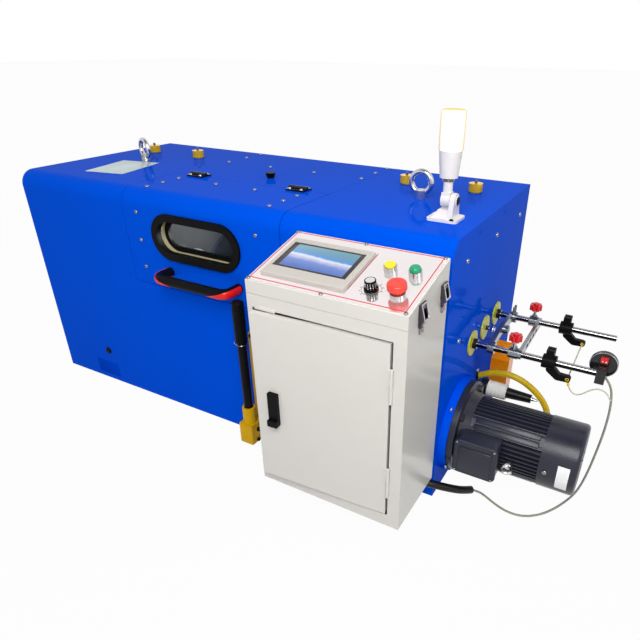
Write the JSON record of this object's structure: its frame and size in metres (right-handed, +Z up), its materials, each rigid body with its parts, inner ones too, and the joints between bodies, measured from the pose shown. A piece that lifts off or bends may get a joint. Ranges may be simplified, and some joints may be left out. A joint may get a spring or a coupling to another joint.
{
  "type": "wire bunching machine",
  "caption": "Floor-standing wire bunching machine with a lift-up cover and window, side control console, flange motor and wire guide rods.",
  "frame": {"origin": "centre of the housing's footprint on the floor", "axes": "+X along the housing towards the motor end, -Y out of the front with the cover and console, +Z up"},
  "size_m": [1.8187, 0.8957, 0.937],
  "materials": {
    "blue_paint": "gloss",
    "dark_steel": "satin",
    "grey_casting": "satin",
    "steel": "satin",
    "chrome": "polished",
    "brass": "satin",
    "cream_lining": "matte",
    "black_rubber": "matte",
    "window": "polished",
    "black_plastic": "satin",
    "white_plastic": "satin",
    "yellow_paint": "satin",
    "ivory_paint": "satin",
    "silver_panel": "satin",
    "screen_grey": "gloss",
    "yellow_plastic": "gloss",
    "green_plastic": "gloss",
    "red_plastic": "gloss",
    "passivated": "satin",
    "orange_paint": "satin",
    "motor_paint": "satin",
    "yellow_hose": "gloss",
    "grey_cable": "satin"
  },
  "bodies": {
    "frame": {"base_plate": "blue_paint", "left_wrap": "blue_paint", "right_wrap": "blue_paint", "front_lower": "blue_paint", "rear_top": "blue_paint", "end_plate_left": "blue_paint", "end_plate_right": "blue_paint", "back_panel": "blue_paint", "bearing_walls": "grey_casting", "cradle": "grey_casting", "bobbin": "steel", "hinge_bases": "chrome", "top_bumper": "black_rubber", "lifting_eyes": "chrome", "grease_cups": "brass", "beacon_base": "white_plastic", "lever_block": "yellow_paint", "lift_link": "yellow_paint", "console_cabinet": "ivory_paint", "console_brackets": "dark_steel", "wire_discs": "passivated", "guide_rods": "steel", "rod_bridge": "grey_casting", "slotted_bar": "steel", "star_knobs": "red_plastic", "wire_clamps": "black_plastic", "sensor_dish": "grey_casting", "guard_box": "orange_paint", "rotary_union": "white_plastic", "motor_body": "motor_paint", "motor_cowl": "motor_paint", "terminal_box": "motor_paint", "air_hose": "yellow_hose", "sensor_cable": "grey_cable", "twin_wire": "grey_cable", "conduit": "black_plastic", "conduit_elbow": "black_plastic"},
    "rotor": {"flyer": "steel"},
    "cover": {"cover_skin": "blue_paint", "cover_lining": "cream_lining", "window_gasket": "black_rubber", "window_pane": "window", "cover_handle": "black_plastic", "hinge_leaves": "chrome"},
    "door": {"console_door": "ivory_paint", "door_lock": "black_plastic"},
    "lid": {"console_lid": "ivory_paint", "control_panel": "silver_panel", "touch_panel": "screen_grey", "button_collars": "chrome", "lid_latches": "chrome"},
    "yellow_cap": {"yellow_button": "yellow_plastic"},
    "green_cap": {"green_button": "green_plastic"},
    "stop_head": {"stop_button": "red_plastic"},
    "dial": {"speed_knob": "black_plastic"},
    "lever": {"lever_socket": "yellow_paint", "lever_grip": "black_rubber"},
    "beacon": {"beacon_lamp": "white_plastic"}
  },
  "joints": [
    {"name": "cover_hinge", "type": "hinge", "parent": "frame", "child": "cover", "pos_m": [0, -0.088, 0.7065], "axis": [-1, 0, 0], "range_deg": [0, 165]},
    {"name": "door_hinge", "type": "hinge", "parent": "frame", "child": "door", "pos_m": [0.696, -0.5445, 0.336], "axis": [0, 0, 1], "range_deg": [-3, 105]},
    {"name": "lid_hinge", "type": "hinge", "parent": "frame", "child": "lid", "pos_m": [0.339, -0.438, 0.592], "axis": [0, -1, 0], "range_deg": [0, 45]},
    {"name": "lever_pivot", "type": "hinge", "parent": "frame", "child": "lever", "pos_m": [0.161, -0.37, 0.045], "axis": [1, 0, 0], "range_deg": [0, 45]},
    {"name": "beacon_fold", "type": "hinge", "parent": "frame", "child": "beacon", "pos_m": [0.641, -0.155, 0.745], "axis": [-1, 0, 0], "range_deg": [0, 75]},
    {"name": "yellow_push", "type": "slide", "parent": "lid", "child": "yellow_cap", "axis": [0, 0.2425, -0.9701], "range_m": [0, 0.004], "stiffness_N_per_m": 800, "springref_m": -0.001},
    {"name": "green_push", "type": "slide", "parent": "lid", "child": "green_cap", "axis": [0, 0.2425, -0.9701], "range_m": [0, 0.004], "stiffness_N_per_m": 800, "springref_m": -0.001},
    {"name": "stop_push", "type": "slide", "parent": "lid", "child": "stop_head", "axis": [0, 0.2425, -0.9701], "range_m": [0, 0.004], "stiffness_N_per_m": 800, "springref_m": -0.001},
    {"name": "knob_turn", "type": "hinge", "parent": "lid", "child": "dial", "pos_m": [0.619, -0.4881, 0.63704], "axis": [0, -0.2425, 0.9701], "range_deg": [-135, 135]},
    {"name": "flyer_spin", "type": "hinge", "parent": "frame", "child": "rotor", "pos_m": [0, 0, 0.367], "axis": [1, 0, 0], "continuous": true}
  ]
}
